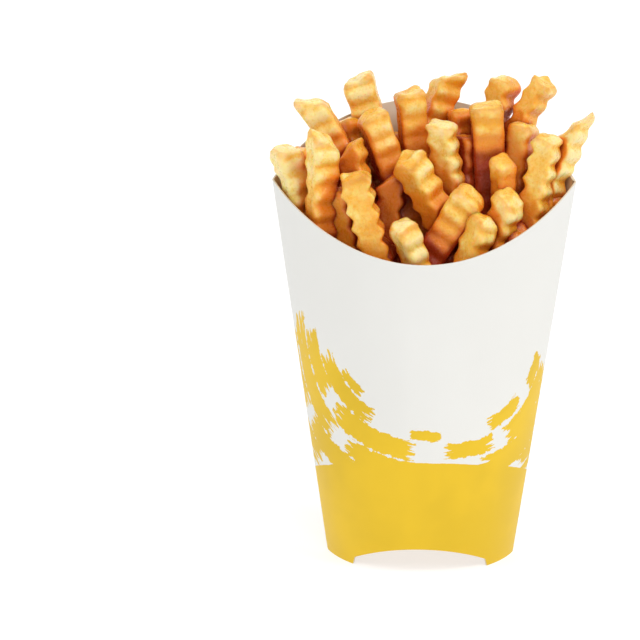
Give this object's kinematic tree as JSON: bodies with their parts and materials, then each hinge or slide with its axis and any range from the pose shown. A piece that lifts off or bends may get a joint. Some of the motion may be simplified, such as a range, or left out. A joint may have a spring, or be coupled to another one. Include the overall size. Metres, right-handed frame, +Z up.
{
  "type": "french fries in a carton",
  "caption": "Crinkle-cut french fries heaped in a folded paperboard scoop carton with a dipped front rim, a raised back and an arched foot.",
  "frame": {"origin": "on the table, under the middle of the whole object's bounding box", "axes": "+Z up, from the carton's feet to the tips of the fries; -Y is the carton's front wall, with the dipped rim; +X is the viewer's right when facing the front"},
  "size_m": [0.1126, 0.066, 0.1694],
  "materials": {
    "printed_board": "smooth coated paperboard, satin, printed on the lower half",
    "fried_potato": "golden fried potato with a thin oily crust"
  },
  "bodies": {
    "root": {"carton": "printed_board", "fries": "fried_potato"}
  },
  "joints": []
}
